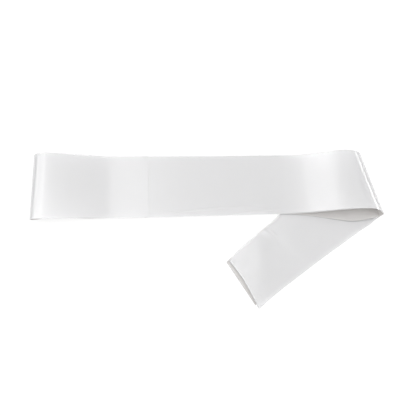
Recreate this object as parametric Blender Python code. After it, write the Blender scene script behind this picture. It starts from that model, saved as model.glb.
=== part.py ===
"""Satin sash, laid flat and doubled, as a Blender model.

One long satin strip is joined into a ring. It lies doubled on a table, turns
back on itself in a soft loop at the left, and both layers fold under together
along a slanted line at the right, so that the doubled end comes out below the
front band as a tail that points to the lower left.

Lengths in the tables are millimetres. Origin: the middle of the outline's box
on the table. +X along the front band, +Y away from the viewer, +Z up.
"""

import math

import bmesh
import bpy
from mathutils import Vector

MM = 0.001

# Driving sizes, in millimetres
CLOTH = 1.0            # wall of the cloth solids
GAP = 0.3              # room between pieces
LAYER = CLOTH + GAP    # height of one layer on the next
REST = CLOTH / 2       # middle of the layer that lies on the table
LAP = 9.0              # overlap of the join that closes the ring
SEAM_X = -96.0         # where the join crosses the front band
STEP = 6.0             # length of one facet along the cloth
FOLD_STEPS = 5         # facets in a quarter of a fold

# Middle of the outline's box in the tables' own places
OUTLINE_MIDDLE = Vector((-1.71, 0.01, 0.0))

# Each row of a table is one straight section across the cloth, from its near
# edge to its far edge:
#   near_x, near_y: the near edge's place
#   lean: the section's angle from +Y, in degrees, positive to the left
#   span: the section's length, a little over the cloth's width where it leans
#   near_z, far_z: heights of the middle of the wall at the two edges
ROW_NAMES = ("near_x", "near_y", "lean", "span", "near_z", "far_z")

# The under layer of the tail, from its sewn end to the right fold
TAIL_UNDER = (
    (59.0, -115.5, 31.3, 77.0, REST, REST),
    (95.5, -94.0, 31.3, 83.5, REST, REST),
    (129.0, -71.5, 33.5, 87.0, REST, REST),
    (190.0, -32.0, 31.0, 92.0, REST, REST),
    (230.0, -6.5, 24.5, 94.0, REST, REST),
    (252.0, 4.0, 15.2, 99.5, REST, REST),
)
OUTER_FOLD = (267.4, 14.3, 15.6, 101.8, 13.0, 14.0)

# The front band, from the right fold to the left fold
FRONT = (
    (251.5, 21.3, 16.5, 98.7, 28.2, 28.0),
    (238.0, 22.5, 15.9, 98.3, 27.8, 27.4),
    (221.0, 22.9, 14.3, 97.2, 25.8, 25.4),
    (200.0, 22.7, 11.1, 95.9, 22.0, 21.6),
    (178.0, 22.2, 7.6, 94.8, 16.3, 15.8),
    (150.0, 21.6, 4.2, 94.8, 9.5, 9.4),
    (115.0, 21.4, 1.4, 95.7, 5.2, 5.2),
    (78.0, 21.7, 0.0, 95.9, 4.2, 4.2),
    (-11.0, 21.8, 0.0, 96.2, 3.8, 4.2),
    (SEAM_X, 21.8, 0.0, 96.5, 5.0, 6.0),
    (-152.0, 22.0, 0.0, 97.0, 6.2, 7.0),
    (-176.0, 22.3, 0.0, 97.5, 9.5, 10.4),
    (-199.0, 22.0, 0.0, 98.6, 13.6, 15.0),
    (-226.0, 21.6, 0.0, 99.6, 17.6, 20.4),
    (-250.4, 21.5, -1.9, 99.7, 18.6, 23.4),
)
LEFT_FOLD = (-270.8, 22.0, -3.4, 99.0, 9.6, 12.2)

# The under layer of the band, from the left fold to the right fold. From
# x = 40 to x = 100 it climbs onto the two layers of the tail.
BACK = (
    (-250.0, 26.0, -2.2, 94.7, REST, REST),
    (-215.0, 24.7, -1.0, 95.0, REST, REST),
    (-180.0, 23.4, 0.0, 95.4, REST, REST),
    (0.0, 23.3, 0.0, 94.9, REST, REST),
    (40.0, 23.3, 0.0, 94.8, REST + 0.1, REST + 0.1),
    (100.0, 22.3, 1.5, 94.8, 3.4, 3.4),
    (132.0, 20.4, 5.0, 95.2, 3.5, 3.5),
    (166.0, 15.9, 8.0, 97.0, 3.6, 3.6),
    (206.0, 8.7, 12.0, 99.0, 4.6, 4.6),
    (226.0, 7.0, 14.0, 99.8, 6.4, 6.4),
    (248.0, 9.5, 15.0, 99.5, 9.2, 9.2),
)
INNER_FOLD = (263.8, 12.8, 15.8, 99.4, 8.2, 8.2)

# The upper layer of the tail, from the right fold to its sewn end
TAIL_TOP = (
    (250.6, 2.2, 16.5, 99.4, 1.9, 1.9),
    (232.6, -8.2, 26.6, 95.3, 1.9, 1.9),
    (198.1, -30.0, 30.8, 93.9, 1.9, 1.9),
    (164.3, -51.4, 37.0, 93.3, 2.0, 1.9),
    (130.8, -73.5, 35.4, 88.8, 2.1, 2.6),
    (100.0, -94.0, 30.5, 87.4, 2.1, 2.4),
    (80.0, -108.5, 29.8, 86.4, 2.0, 2.1),
    (64.0, -121.3, 29.6, 83.7, 1.9, 1.9),
)

# Relief of the tail: a long soft ridge from its upper edge down to its tip,
# and a short sharp tuck that starts at the same place on the upper edge
RIDGE_TOP = Vector((79.3, -1.2))
RIDGE_TIP = Vector((64.0, -121.3))
RIDGE_HEIGHT = 3.8
RIDGE_HALF_WIDTHS = (45.0, 80.0)
TUCK_END = Vector((110.0, -32.0))
TUCK_HEIGHT = 1.3
TUCK_HALF_WIDTHS = (14.0, 36.0)
CREST = 0.1

SATIN_WHITE = (0.86, 0.87, 0.89, 1.0)


def section(row):
    """Near and far end of one row of a table, as a pair of vectors."""
    values = dict(zip(ROW_NAMES, row))
    lean = math.radians(values["lean"])
    near = Vector((values["near_x"], values["near_y"], values["near_z"]))
    across = Vector((-math.sin(lean), math.cos(lean), 0.0)) * values["span"]
    far = near + across
    far.z = values["far_z"]
    return near, far


def sections(table):
    return [section(row) for row in table]


def quarter(flat, side, steps):
    """Sections of a quarter turn, from the flat section to the side of a fold."""
    turned = []
    for step in range(1, steps):
        angle = 0.5 * math.pi * step / steps
        pair = []
        for start, end in zip(flat, side):
            point = start.lerp(end, math.sin(angle))
            point.z = end.z + (start.z - end.z) * math.cos(angle)
            pair.append(point)
        turned.append(tuple(pair))
    return turned


def fold(before, contour, after):
    """Sections that turn the cloth over, between two flat sections."""
    side = section(contour)
    down = quarter(before, side, FOLD_STEPS)
    up = quarter(after, side, FOLD_STEPS)
    return down + [side] + up[::-1]


def distance(first, second):
    """Mean length of cloth between two sections."""
    return 0.5 * ((first[0] - second[0]).length + (first[1] - second[1]).length)


def smooth(controls):
    """Sections along a smooth curve through the control sections.

    Also gives the place of each control section among them.
    """
    places = [0.0]
    for first, second in zip(controls, controls[1:]):
        places.append(places[-1] + distance(first, second))
    last = len(controls) - 1
    slopes = []
    for index in range(last + 1):
        before = max(index - 1, 0)
        after = min(index + 1, last)
        room = places[after] - places[before]
        slopes.append([(controls[after][k] - controls[before][k]) / room for k in (0, 1)])
    curve = [controls[0]]
    marks = [0]
    for index in range(last):
        length = places[index + 1] - places[index]
        count = max(1, round(length / STEP))
        for step in range(1, count + 1):
            t = step / count
            pair = []
            for k in (0, 1):
                start = controls[index][k]
                end = controls[index + 1][k]
                pair.append(
                    start * (2 * t**3 - 3 * t**2 + 1)
                    + slopes[index][k] * (t**3 - 2 * t**2 + t) * length
                    + end * (3 * t**2 - 2 * t**3)
                    + slopes[index + 1][k] * (t**3 - t**2) * length
                )
            curve.append(tuple(pair))
        marks.append(len(curve) - 1)
    return curve, marks


def trimmed(rows, start, end):
    """The same sections with a length of cloth taken off each end."""
    rows = list(rows)
    for cut, first, second in ((start, 0, 1), (end, -1, -2)):
        if cut:
            share = cut / distance(rows[first], rows[second])
            rows[first] = tuple(a.lerp(b, share) for a, b in zip(rows[first], rows[second]))
    return rows


def roof(aside, half_widths):
    """Height of a roof with a rounded crest: 1 on it, 0 at each half width."""
    share = abs(aside) / half_widths[0 if aside > 0.0 else 1]
    share = math.sqrt(share * share + CREST * CREST) - CREST
    return max(1.0 - share, 0.0) ** 1.2


def ease(value):
    value = min(max(value, 0.0), 1.0)
    return value * value * (3.0 - 2.0 * value)


def beside(point, start, end):
    """Share along a line, and distance to its right."""
    line = end - start
    offset = Vector((point.x, point.y)) - start
    along = offset.dot(line) / line.length_squared
    return along, (offset.x * line.y - offset.y * line.x) / line.length


def tail_relief(point):
    """Height that the ridge and the tuck add to the upper layer of the tail."""
    along, aside = beside(point, RIDGE_TOP, RIDGE_TIP)
    ridge = RIDGE_HEIGHT * ease(0.5 + 1.4 * along) * ease(1.3 - along) * roof(aside, RIDGE_HALF_WIDTHS)
    along, aside = beside(point, RIDGE_TOP, TUCK_END)
    tuck = TUCK_HEIGHT * ease(1.2 - 1.2 * along) * roof(aside, TUCK_HALF_WIDTHS)
    return ridge * roof(min(aside, 0.0), TUCK_HALF_WIDTHS) + tuck


def no_relief(point):
    return 0.0


def under_lap(point):
    """The right panel's end dips by one layer where the left one covers it."""
    return -LAYER * ease((SEAM_X + 6.0 - point.x) / 5.0)


def grid_of(rows, columns, relief):
    """Points of the middle of the wall, row by row across the cloth."""
    grid = []
    for near, far in rows:
        line = []
        for column in range(columns + 1):
            point = near.lerp(far, column / columns)
            point.z += relief(point)
            line.append(point)
        grid.append(line)
    return grid


def normals_of(grid):
    """Unit normals of a grid of points."""
    last_row = len(grid) - 1
    last_column = len(grid[0]) - 1
    normals = []
    for r in range(last_row + 1):
        line = []
        for c in range(last_column + 1):
            along = grid[min(r + 1, last_row)][c] - grid[max(r - 1, 0)][c]
            across = grid[r][min(c + 1, last_column)] - grid[r][max(c - 1, 0)]
            line.append(along.cross(across).normalized())
        normals.append(line)
    return normals


def satin():
    """White satin, a little cool, with a soft gloss."""
    material = bpy.data.materials.new("satin")
    material.use_nodes = True
    shader = material.node_tree.nodes["Principled BSDF"]
    shader.inputs["Base Color"].default_value = SATIN_WHITE
    shader.inputs["Roughness"].default_value = 0.38
    shader.inputs["Metallic"].default_value = 0.0
    shader.inputs["Sheen Weight"].default_value = 0.15
    return material


def cloth_solid(name, rows, columns, material, relief=no_relief):
    """A closed wall of even thickness along the sections."""
    grid = grid_of(rows, columns, relief)
    normals = normals_of(grid)
    mesh = bpy.data.meshes.new(name)
    solid = bmesh.new()
    layers = []
    for side in (0.5, -0.5):
        layer = []
        for points, directions in zip(grid, normals):
            line = []
            for point, direction in zip(points, directions):
                place = point + direction * (CLOTH * side)
                place.z = max(place.z, 0.0)
                line.append(solid.verts.new((place - OUTLINE_MIDDLE) * MM))
            layer.append(line)
        layers.append(layer)
    upper, lower = layers
    last_row = len(grid) - 1
    for r in range(last_row):
        for c in range(columns):
            solid.faces.new((upper[r][c], upper[r + 1][c], upper[r + 1][c + 1], upper[r][c + 1]))
            solid.faces.new((lower[r][c], lower[r][c + 1], lower[r + 1][c + 1], lower[r + 1][c]))
        for c in (0, columns):
            wall = (upper[r][c], lower[r][c], lower[r + 1][c], upper[r + 1][c])
            solid.faces.new(wall if c == 0 else wall[::-1])
    for c in range(columns):
        for r in (0, last_row):
            wall = (upper[r][c], upper[r][c + 1], lower[r][c + 1], lower[r][c])
            solid.faces.new(wall if r == 0 else wall[::-1])
    bmesh.ops.recalc_face_normals(solid, faces=solid.faces)
    bmesh.ops.triangulate(solid, faces=solid.faces)
    solid.to_mesh(mesh)
    solid.free()
    mesh.shade_smooth()
    mesh.set_sharp_from_angle(angle=math.radians(40.0))
    mesh.materials.append(material)
    piece = bpy.data.objects.new(name, mesh)
    bpy.context.collection.objects.link(piece)
    return piece


def build():
    for leftover in list(bpy.data.objects):
        bpy.data.objects.remove(leftover)
    material = satin()
    tail_under = sections(TAIL_UNDER)
    front = sections(FRONT)
    back = sections(BACK)
    tail_top = sections(TAIL_TOP)
    outer = fold(tail_under[-1], OUTER_FOLD, front[0])
    left = fold(front[-1], LEFT_FOLD, back[0])
    inner = fold(back[-1], INNER_FOLD, tail_top[0])
    ring = tail_under + outer + front + left + back + inner + tail_top
    curve, marks = smooth(ring)

    # Where one piece ends and the next begins, as places in the ring
    seam = [row[0] for row in FRONT].index(SEAM_X)
    to_front = len(tail_under) + len(outer)
    to_back = to_front + len(front) + len(left)
    under_end = marks[len(tail_under) - 1]
    seam_end = marks[to_front + seam]
    left_end = marks[to_back]
    back_end = marks[to_back + len(back) - 1]
    lap_end = seam_end + round(LAP / STEP)

    pieces = (
        ("tail_under", curve[:under_end + 1], 6, no_relief),
        ("front_right", curve[under_end:lap_end + 1], 4, under_lap),
        ("front_left", curve[seam_end:left_end + 1], 4, no_relief),
        ("back_stretch", curve[left_end:back_end + 1], 4, no_relief),
        ("tail_top", curve[back_end:], 10, tail_relief),
    )
    for name, rows, columns, relief in pieces:
        cloth_solid(name, trimmed(rows, GAP / 2, GAP / 2), columns, material, relief)


build()
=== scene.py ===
"""Looks of the satin sash: two thin shells of satin along the same folds as the
model's solids, with a lap join and small creases, on a plain white floor in
soft studio light.

Lengths are millimetres for the cloth and the camera, and metres for the weave,
the floor and the lights. Angles are degrees.
"""

import math

import bmesh
import bpy
from mathutils import Matrix, Vector


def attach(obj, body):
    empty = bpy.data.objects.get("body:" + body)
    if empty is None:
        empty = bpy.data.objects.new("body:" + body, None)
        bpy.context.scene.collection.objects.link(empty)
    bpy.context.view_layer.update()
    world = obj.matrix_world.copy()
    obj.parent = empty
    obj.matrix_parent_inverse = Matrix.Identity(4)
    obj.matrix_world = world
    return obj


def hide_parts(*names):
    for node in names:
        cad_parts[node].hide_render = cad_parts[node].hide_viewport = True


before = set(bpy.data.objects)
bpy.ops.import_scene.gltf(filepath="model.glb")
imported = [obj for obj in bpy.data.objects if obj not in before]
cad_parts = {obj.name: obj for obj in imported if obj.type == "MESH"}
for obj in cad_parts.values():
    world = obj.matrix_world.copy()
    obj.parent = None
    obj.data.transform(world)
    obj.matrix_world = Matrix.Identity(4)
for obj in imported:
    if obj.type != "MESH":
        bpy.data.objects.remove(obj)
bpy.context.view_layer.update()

MM = 0.001

# Sizes of the cloth, in millimetres
SHELL = 0.3                  # wall of the thin shell
WALL = 1.0                   # wall of the solids that it stands for
REST = WALL / 2              # height of the middle of a layer that lies on the floor
SETTLE = (WALL - SHELL) / 2  # the shell sinks by this much, to rest on the floor
RIBBON = 95.5                # width of the cut strip
LAP = 8.0                    # overlap of the join that closes the ring
SEAM_X = -96.0               # where the join crosses the front band
LAP_STEP = 0.33              # height of the left panel's free end on the right one
LAP_REACH = 12.0             # length over which the left panel climbs to it
LAP_CURVE = 1.5              # power of that climb
LAP_DIP = 6.0                # length over which the covered end sinks

# Rows and columns of the shells' facets
STEP = 2.0                   # rough distance between the rows
HEM_ROW = 0.3                # place of an extra row by the free end, in steps
COLUMNS = 80                 # facets across the cloth
EDGE_DENSITY = 0.6           # how much closer the columns stand at the edges
FOLD_STEPS = 5               # parts of a quarter turn, before it is smoothed

# The model's origin in the tables' places: the middle of the outline's box
OUTLINE_MIDDLE = Vector((-1.71, 0.01, 0.0))

# Each row of a table is one straight section across the cloth, from its near
# edge to its far edge:
#   near_x, near_y: the near edge's place
#   lean: the section's angle from +Y, in degrees, positive to the left
#   span: the section's length, seen from above
#   near_z, far_z: heights of the middle of the solid's wall at the two edges
ROW_NAMES = ("near_x", "near_y", "lean", "span", "near_z", "far_z")

# The under layer of the tail, from its sewn end to the right fold
TAIL_UNDER = (
    (59.0, -115.5, 31.3, 77.0, REST, REST),
    (95.5, -94.0, 31.3, 83.5, REST, REST),
    (129.0, -71.5, 33.5, 87.0, REST, REST),
    (190.0, -32.0, 31.0, 92.0, REST, REST),
    (230.0, -6.5, 24.5, 94.0, REST, REST),
    (252.0, 4.0, 15.2, 99.5, REST, REST),
)
OUTER_FOLD = (267.4, 14.3, 15.6, 101.8, 13.0, 14.0)

# The front band, from the right fold to the left fold
FRONT = (
    (251.5, 21.3, 16.5, 98.7, 28.2, 28.0),
    (238.0, 22.5, 15.9, 98.3, 27.8, 27.4),
    (221.0, 22.9, 14.3, 97.2, 25.8, 25.4),
    (200.0, 22.7, 11.1, 95.9, 22.0, 21.6),
    (178.0, 22.2, 7.6, 94.8, 16.3, 15.8),
    (150.0, 21.6, 4.2, 94.8, 9.5, 9.4),
    (115.0, 21.4, 1.4, 95.7, 5.2, 5.2),
    (78.0, 21.7, 0.0, 95.9, 4.2, 4.2),
    (-11.0, 21.8, 0.0, 96.2, 3.8, 4.2),
    (SEAM_X, 21.8, 0.0, 96.5, 5.0, 6.0),
    (-152.0, 22.0, 0.0, 97.0, 6.2, 7.0),
    (-176.0, 22.3, 0.0, 97.5, 9.3, 10.2),
    (-199.0, 22.0, 0.0, 98.6, 12.9, 14.6),
    (-226.0, 21.6, 0.0, 99.6, 16.9, 20.0),
    (-250.4, 21.3, -1.9, 99.7, 20.0, 23.7),
)
LEFT_FOLD = (-271.4, 22.0, -2.6, 99.0, 9.6, 12.2)

# The under layer of the band, from the left fold to the right fold
BACK = (
    (-250.0, 26.0, -2.2, 94.7, REST, REST),
    (-215.0, 24.7, -1.0, 95.0, REST, REST),
    (-180.0, 23.4, 0.0, 95.4, REST, REST),
    (0.0, 23.3, 0.0, 94.9, REST, REST),
    (40.0, 23.3, 0.0, 94.8, REST + 0.1, REST + 0.1),
    (100.0, 22.3, 1.5, 94.8, 3.4, 3.4),
    (132.0, 20.4, 5.0, 95.2, 3.5, 3.5),
    (166.0, 15.9, 8.0, 97.0, 3.6, 3.6),
    (206.0, 8.7, 12.0, 99.0, 4.6, 4.6),
    (226.0, 7.0, 14.0, 99.8, 6.4, 6.4),
    (248.0, 9.5, 15.0, 99.5, 9.2, 9.2),
)
INNER_FOLD = (263.8, 12.8, 15.8, 99.4, 8.2, 8.2)

# The upper layer of the tail, from the right fold to its sewn end
TAIL_TOP = (
    (250.6, 2.2, 16.5, 99.4, 1.9, 1.9),
    (232.6, -8.2, 26.6, 95.3, 1.9, 1.9),
    (198.1, -30.0, 30.8, 93.9, 1.9, 1.9),
    (164.3, -51.4, 37.0, 93.3, 2.0, 1.9),
    (130.8, -73.5, 35.4, 88.8, 2.1, 2.6),
    (100.0, -94.0, 30.5, 87.4, 2.1, 2.4),
    (80.0, -108.5, 29.8, 86.4, 2.0, 2.1),
    (64.0, -121.3, 29.6, 83.7, 1.9, 1.9),
)

# Relief of the tail: a long ridge and a short tuck from one point of its upper
# edge. Each is a roof with a half width on the line's right and on its left.
RIDGE_TOP = Vector((79.3, -1.2))
RIDGE_TIP = Vector((64.0, -121.3))
RIDGE_HEIGHT = 3.8
RIDGE_HALF_WIDTHS = (45.0, 80.0)
RIDGE_START = 0.5            # share of its height at the top, before easing
RIDGE_GAIN = 1.4             # gain of that share over the ridge's length
RIDGE_LAST = 1.3             # where the ridge would end, in its lengths
TUCK_END = Vector((110.0, -32.0))
TUCK_HEIGHT = 1.3
TUCK_HALF_WIDTHS = (9.0, 36.0)
TUCK_FADE = 1.2              # loss of its share over the tuck's length
CREST = 0.1                  # rounding of a roof's crest
ROOF_CURVE = 1.2             # power of a roof's slopes

# Soft creases along the cloth: start, end, height, half width. They fade
# towards both ends, and a negative height is a trough.
CREASE_FADE = 0.3            # share of a crease over which each end fades
FRONT_CREASES = (
    ((-84.0, 27.2), (42.0, 36.6), -0.35, 2.2),
    ((0.0, 34.4), (112.0, 35.8), -0.35, 2.2),
    ((28.0, 24.6), (122.0, 30.8), -0.35, 2.0),
    ((-232.0, 118.4), (-148.0, 116.2), -0.25, 1.5),
)
TAIL_CREASES = (
    ((83.0, 0.5), (99.0, -13.0), -0.6, 2.6),
)

# Edges that curl down: side (0 near, 1 far), first and last x, drop, reach
CURL_FADE = 14.0             # length over which each end of a curl fades
FRONT_CURLS = (
    (0, 96.0, 232.0, 0.7, 2.5),
    (1, -240.0, -142.0, 0.6, 2.0),
)
TAIL_CURLS = (
    (1, 74.0, 112.0, 1.3, 7.0),
)

# The upper layer's end draws back in a bow, so that the lower layer shows
END_BOW = 3.2                # how far it draws back at most
END_BOW_REACH = 22.0         # length of the tail over which that fades out
END_BOW_SKEW = 1.2           # moves the bow's middle towards the far edge

# Shader inputs of the satin. The back's faint glow is painted light, standing in for the
# light that comes through the cloth above it.
SATIN = {
    "IOR": 2.0,
    "Specular IOR Level": 1.0,
    "Sheen Weight": 0.1,
    "Subsurface Weight": 0.9,
    "Subsurface Radius": (1.0, 1.0, 1.0),
    "Subsurface Scale": 0.001,
    "Emission Color": (1.0, 0.97, 0.95, 1.0),
    "Anisotropic Rotation": 0.25,
}
FACE_SIDE = {
    "Base Color": (0.64, 0.64, 0.65, 1.0),
    "Roughness": 0.27,
    "Anisotropic": 0.6,
    "Emission Strength": 0.0,
}
# The back side of the satin: painted shade in its base colour and a painted glow; its
# higher roughness is the back's duller finish
BACK_SIDE_PAINTED_SHADE_AND_GLOW = {
    # Painted shade: this base colour, darker and warmer than the face's, darkens the
    # insides of the folds and the lower layer's lip
    "Base Color": (0.38, 0.367, 0.358, 1.0),
    "Roughness": 0.55,
    "Anisotropic": 0.3,
    # Painted glow: emission that stands in for the light through the cloth above the back
    "Emission Strength": 0.115,
}
FACE_WEAVE = 0.12            # strength of the weave's relief on the face
BACK_WEAVE = 0.2             # and on the back
WEAVE_DEPTH = 0.0001         # depth of that relief
FLOATS_PER_METRE = (260.0, 2600.0, 1.0)  # along the strip, across it, unused
GRAIN_DETAIL = 2.0           # finer layers in the weave's noise
CLOTH_UV = "cloth"

# The floor, in metres
FLOOR_SIZE = 6.0
FLOOR_HEIGHT = -0.0002
FLOOR = {
    "Base Color": (0.3, 0.3, 0.3, 1.0),
    "Roughness": 1.0,
    "Specular IOR Level": 0.0,
    "Emission Color": (1.0, 1.0, 1.0, 1.0),
    "Emission Strength": 0.75,
}

# Soft light panels: azimuth and elevation in degrees, radiance. They follow an
# arc from the left over the sash to the right, with two behind and one in front.
PANELS = (
    (180.0, 22.0, 1.8),
    (180.0, 34.0, 2.0),
    (180.0, 44.0, 1.6),
    (180.0, 53.0, 1.5),
    (180.0, 62.0, 1.9),
    (180.0, 71.0, 1.5),
    (180.0, 80.0, 1.3),
    (180.0, 88.0, 1.0),
    (0.0, 82.0, 0.55),
    (0.0, 73.0, 0.45),
    (0.0, 62.0, 0.55),
    (0.0, 50.0, 1.4),
    (0.0, 38.0, 8.0),
    (90.0, 60.0, 1.3),
    (90.0, 35.0, 4.4),
    (270.0, 15.0, 5.5),
)
PANEL_SIZE = (2.5, 0.62)     # metres
PANEL_REACH = 3.5            # metres from the sash
WORLD_STRENGTH = 0.34

# The photograph's camera: where its axis meets the floor, how it is turned,
# its distance and its focal length in pixels of the photograph
CAMERA_TARGET = Vector((-3.8, 35.0, 0.0))
CAMERA_TILT = 12.0
CAMERA_YAW = 5.0
CAMERA_ROLL = -2.5
CAMERA_DISTANCE = 738.0
CAMERA_FOCAL_PIXELS = 476.0
CAMERA_CLIP_START = 0.01     # metres
IMAGE_PIXELS = 416.0
SENSOR_WIDTH = 36.0


def section(row):
    """Near and far end of one row of a table, as a pair of vectors."""
    values = dict(zip(ROW_NAMES, row))
    lean = math.radians(values["lean"])
    near = Vector((values["near_x"], values["near_y"], values["near_z"]))
    across = Vector((-math.sin(lean), math.cos(lean), 0.0)) * values["span"]
    far = near + across
    far.z = values["far_z"]
    return near, far


def sections(table):
    """The sections of all rows of a table."""
    return [section(row) for row in table]


def quarter(flat, side, steps):
    """Sections of a quarter turn, from the flat section to the side of a fold."""
    turned = []
    for step in range(1, steps):
        angle = 0.5 * math.pi * step / steps
        pair = []
        for start, end in zip(flat, side):
            point = start.lerp(end, math.sin(angle))
            point.z = end.z + (start.z - end.z) * math.cos(angle)
            pair.append(point)
        turned.append(tuple(pair))
    return turned


def fold(before, contour, after):
    """Sections that turn the cloth over, between two flat sections."""
    side = section(contour)
    down = quarter(before, side, FOLD_STEPS)
    up = quarter(after, side, FOLD_STEPS)
    return down + [side] + up[::-1]


def distance(first, second):
    """Mean length of cloth between two sections."""
    return 0.5 * ((first[0] - second[0]).length + (first[1] - second[1]).length)


def smooth(controls):
    """Sections along a smooth curve, and the place of each control among them."""
    places = [0.0]
    for first, second in zip(controls, controls[1:]):
        places.append(places[-1] + distance(first, second))
    last = len(controls) - 1
    slopes = []
    for index in range(last + 1):
        before = max(index - 1, 0)
        after = min(index + 1, last)
        room = places[after] - places[before]
        slopes.append([(controls[after][k] - controls[before][k]) / room for k in (0, 1)])
    curve = [controls[0]]
    marks = [0]
    for index in range(last):
        length = places[index + 1] - places[index]
        count = max(1, round(length / STEP))
        for step in range(1, count + 1):
            t = step / count
            pair = []
            for k in (0, 1):
                start = controls[index][k]
                end = controls[index + 1][k]
                pair.append(
                    start * (2 * t**3 - 3 * t**2 + 1)
                    + slopes[index][k] * (t**3 - 2 * t**2 + t) * length
                    + end * (3 * t**2 - 2 * t**3)
                    + slopes[index + 1][k] * (t**3 - t**2) * length
                )
            curve.append(tuple(pair))
        marks.append(len(curve) - 1)
    return curve, marks


def ease(value):
    """A smooth step from 0 at 0 to 1 at 1."""
    value = min(max(value, 0.0), 1.0)
    return value * value * (3.0 - 2.0 * value)


def roof(aside, half_widths):
    """Height of a roof with a rounded crest: 1 on it, almost 0 at a half width."""
    share = abs(aside) / half_widths[0 if aside > 0.0 else 1]
    share = math.sqrt(share * share + CREST * CREST) - CREST
    return max(1.0 - share, 0.0) ** ROOF_CURVE


def beside(point, start, end):
    """Share along a line, and distance to its right."""
    line = end - start
    offset = Vector((point.x, point.y)) - start
    along = offset.dot(line) / line.length_squared
    return along, (offset.x * line.y - offset.y * line.x) / line.length


def tail_relief(point):
    """Height that the ridge and the tuck add to the upper layer of the tail. The
    ridge fades out on the tuck's left."""
    along, aside = beside(point, RIDGE_TOP, RIDGE_TIP)
    fade = ease(RIDGE_START + RIDGE_GAIN * along) * ease(RIDGE_LAST - along)
    ridge = RIDGE_HEIGHT * fade * roof(aside, RIDGE_HALF_WIDTHS)
    along, aside = beside(point, RIDGE_TOP, TUCK_END)
    tuck = TUCK_HEIGHT * ease(TUCK_FADE - TUCK_FADE * along) * roof(aside, TUCK_HALF_WIDTHS)
    return ridge * roof(min(aside, 0.0), TUCK_HALF_WIDTHS) + tuck


def under_lap(point):
    """The right panel's end sinks a little where the left one covers it."""
    return -LAP_STEP * ease((SEAM_X - point.x) / LAP_DIP)


def over_lap(room):
    """Climb of the left panel, at a distance from its free end."""
    return LAP_STEP * max(1.0 - room / LAP_REACH, 0.0) ** LAP_CURVE


def crease(point, start, end, height, half_width):
    """Height that one soft crease adds."""
    along, aside = beside(point, Vector(start), Vector(end))
    fade = ease(along / CREASE_FADE) * ease((1.0 - along) / CREASE_FADE)
    share = min(abs(aside) / half_width, 1.0)
    return height * fade * (1.0 - share * share) ** 2


def curl(point, across, side, first_x, last_x, drop, reach):
    """Drop of one curled edge, as a height below zero."""
    room = RIBBON * (across if side == 0 else 1.0 - across)
    fade = ease((point.x - first_x) / CURL_FADE) * ease((last_x - point.x) / CURL_FADE)
    return -drop * fade * max(1.0 - room / reach, 0.0) ** 2


def front_relief(point, across):
    """Small creases and curled edges of the front band."""
    height = sum(crease(point, *values) for values in FRONT_CREASES)
    return height + sum(curl(point, across, *values) for values in FRONT_CURLS)


def end_bow(across, room):
    """How far the upper layer's end draws back along the tail."""
    fade = max(1.0 - room / END_BOW_REACH, 0.0)
    return END_BOW * fade * math.sin(math.pi * across**END_BOW_SKEW)


def ring_runs():
    """The two runs of the strip, which the lap join parts, each as sections. Also
    the rows of the second run where the front band ends and the tail starts."""
    tail_under = sections(TAIL_UNDER)
    front = sections(FRONT)
    back = sections(BACK)
    tail_top = sections(TAIL_TOP)
    outer = fold(tail_under[-1], OUTER_FOLD, front[0])
    left = fold(front[-1], LEFT_FOLD, back[0])
    inner = fold(back[-1], INNER_FOLD, tail_top[0])
    curve, marks = smooth(tail_under + outer + front + left + back + inner + tail_top)
    seam = [row[0] for row in FRONT].index(SEAM_X)
    to_front = len(tail_under) + len(outer)
    seam_end = marks[to_front + seam]
    lap_end = seam_end + round(LAP / STEP)
    hem = tuple(a.lerp(b, HEM_ROW) for a, b in zip(curve[seam_end], curve[seam_end + 1]))
    second = [curve[seam_end], hem] + curve[seam_end + 1:]
    front_end = marks[to_front + len(front)] - seam_end + 1
    tail_start = marks[-len(tail_top)] - seam_end + 1
    return curve[:lap_end + 1], second, front_end, tail_start


def travel_along(rows):
    """Length of cloth from the first row to each row."""
    travel = [0.0]
    for first, second in zip(rows, rows[1:]):
        travel.append(travel[-1] + distance(first, second))
    return travel


def column_place(column):
    """Share of the width at one column; the columns stand closer at the edges."""
    share = column / COLUMNS
    return share - EDGE_DENSITY * math.sin(2.0 * math.pi * share) / (2.0 * math.pi)


def shell(name, rows, shape, materials):
    """A thin wall along the sections, its face side out and its back side in."""
    mesh = bpy.data.meshes.new(name)
    cloth = bmesh.new()
    uv = cloth.loops.layers.uv.new(CLOTH_UV)
    travel = travel_along(rows)
    places = [column_place(column) for column in range(COLUMNS + 1)]
    grid = []
    for index, (near, far) in enumerate(rows):
        line = []
        for across in places:
            point = shape(index, across, near.lerp(far, across))
            point.z = max(point.z - SETTLE, SHELL / 2)
            line.append(cloth.verts.new((point - OUTLINE_MIDDLE) * MM))
        grid.append(line)
    for r in range(len(grid) - 1):
        for c in range(COLUMNS):
            corners = ((r, c), (r, c + 1), (r + 1, c + 1), (r + 1, c))
            face = cloth.faces.new([grid[i][j] for i, j in corners])
            face.smooth = True
            for loop, (i, j) in zip(face.loops, corners):
                loop[uv].uv = (travel[i] * MM, places[j] * RIBBON * MM)
    cloth.to_mesh(mesh)
    cloth.free()
    for material in materials:
        mesh.materials.append(material)
    piece = bpy.data.objects.new(name, mesh)
    bpy.context.collection.objects.link(piece)
    wall = piece.modifiers.new("wall", "SOLIDIFY")
    wall.thickness = SHELL * MM
    wall.offset = 0.0
    wall.material_offset = 1
    wall.material_offset_rim = 0
    return piece


def plain_material(name, inputs):
    """A material whose shader has the same inputs all over the surface."""
    material = bpy.data.materials.new(name)
    material.use_nodes = True
    shader = material.node_tree.nodes["Principled BSDF"]
    for socket, value in inputs.items():
        shader.inputs[socket].default_value = value
    return material


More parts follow.
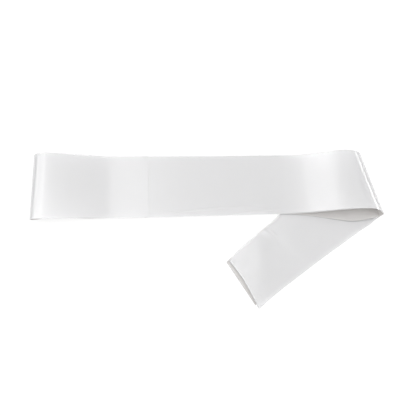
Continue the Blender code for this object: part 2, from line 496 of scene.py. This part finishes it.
def satin(name, side, weave):
    """Satin with long floats along the strip."""
    material = plain_material(name, {**SATIN, **side})
    nodes = material.node_tree.nodes
    links = material.node_tree.links
    shader = nodes["Principled BSDF"]
    place = nodes.new("ShaderNodeUVMap")
    place.uv_map = CLOTH_UV
    tangent = nodes.new("ShaderNodeTangent")
    tangent.direction_type = "UV_MAP"
    tangent.uv_map = CLOTH_UV
    floats = nodes.new("ShaderNodeMapping")
    floats.inputs["Scale"].default_value = FLOATS_PER_METRE
    grain = nodes.new("ShaderNodeTexNoise")
    grain.inputs["Scale"].default_value = 1.0
    grain.inputs["Detail"].default_value = GRAIN_DETAIL
    relief = nodes.new("ShaderNodeBump")
    relief.inputs["Strength"].default_value = weave
    relief.inputs["Distance"].default_value = WEAVE_DEPTH
    links.new(tangent.outputs["Tangent"], shader.inputs["Tangent"])
    links.new(place.outputs["UV"], floats.inputs["Vector"])
    links.new(floats.outputs["Vector"], grain.inputs["Vector"])
    links.new(grain.outputs["Fac"], relief.inputs["Height"])
    links.new(relief.outputs["Normal"], shader.inputs["Normal"])
    return material


def build():
    """Both shells, with their relief, on the part's one body."""
    face = satin("satin_face", FACE_SIDE, FACE_WEAVE)
    # The back's material carries painted shade in its darker colour and a painted glow in
    # its emission
    back = satin("satin_back_painted_shade_and_glow", BACK_SIDE_PAINTED_SHADE_AND_GLOW, BACK_WEAVE)
    first, second, front_end, tail_start = ring_runs()
    travel = travel_along(second)
    end_along = (second[-1][0] - second[-2][0]).normalized()

    def first_shape(index, across, point):
        # The relief starts halfway along this run, a little past the right fold
        if index > len(first) / 2:
            point.z += under_lap(point) + front_relief(point, across)
        return point

    def second_shape(index, across, point):
        if index < front_end:
            point.z += front_relief(point, across) + over_lap(travel[index])
        if index > tail_start:
            point.z += tail_relief(point) + sum(crease(point, *v) for v in TAIL_CREASES)
            point.z += sum(curl(point, across, *v) for v in TAIL_CURLS)
            point -= end_along * end_bow(across, travel[-1] - travel[index])
        return point

    lower = shell("sash_right_run", first, first_shape, (face, back))
    upper = shell("sash_left_run", second, second_shape, (face, back))
    for piece, nodes, run in (
        (lower, ("tail_under", "front_right"), travel_along(first)[-1]),
        (upper, ("front_left", "back_stretch", "tail_top"), travel[-1]),
    ):
        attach(piece, "root")
        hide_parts(*nodes)


def floor():
    """A plain white floor that glows, so that no shadow shows on it."""
    bpy.ops.mesh.primitive_plane_add(size=FLOOR_SIZE, location=(0.0, 0.0, FLOOR_HEIGHT))
    ground = bpy.context.object
    ground.name = "floor"
    ground.data.materials.append(plain_material("floor", FLOOR))


def panel(azimuth, elevation, radiance):
    """A soft light panel that faces the sash."""
    turn = math.radians(azimuth)
    rise = math.radians(elevation)
    level = math.cos(rise)
    towards = Vector((math.cos(turn) * level, math.sin(turn) * level, math.sin(rise)))
    data = bpy.data.lights.new("panel", "AREA")
    data.shape = "RECTANGLE"
    data.size, data.size_y = PANEL_SIZE
    data.energy = radiance * math.pi * PANEL_SIZE[0] * PANEL_SIZE[1]
    light = bpy.data.objects.new("panel", data)
    light.location = towards * PANEL_REACH
    light.rotation_euler = towards.to_track_quat("Z", "Y").to_euler()
    bpy.context.collection.objects.link(light)


def lights():
    """Dim light from all round, and the soft panels."""
    world = bpy.data.worlds.new("studio")
    bpy.context.scene.world = world
    world.use_nodes = True
    background = world.node_tree.nodes["Background"]
    background.inputs["Color"].default_value = (1.0, 1.0, 1.0, 1.0)
    background.inputs["Strength"].default_value = WORLD_STRENGTH
    for azimuth, elevation, radiance in PANELS:
        panel(azimuth, elevation, radiance)


def camera():
    """The camera at the photograph's angle."""
    away = Vector((
        -math.tan(math.radians(CAMERA_YAW)),
        -math.tan(math.radians(CAMERA_TILT)),
        1.0,
    )).normalized()
    right = (-away).cross(Vector((0.0, 1.0, 0.0))).normalized()
    up = right.cross(-away)
    axes = Matrix((right, up, away)).transposed()
    turn = axes @ Matrix.Rotation(math.radians(CAMERA_ROLL), 3, "Z")
    data = bpy.data.cameras.new("camera")
    data.sensor_width = SENSOR_WIDTH
    data.lens = CAMERA_FOCAL_PIXELS / IMAGE_PIXELS * SENSOR_WIDTH
    data.clip_start = CAMERA_CLIP_START
    eye = bpy.data.objects.new("camera", data)
    place = (CAMERA_TARGET + away * CAMERA_DISTANCE) * MM
    eye.matrix_world = Matrix.Translation(place) @ turn.to_4x4()
    bpy.context.collection.objects.link(eye)
    bpy.context.scene.camera = eye


build()
floor()
lights()
camera()
bpy.context.scene.view_settings.view_transform = "Standard"
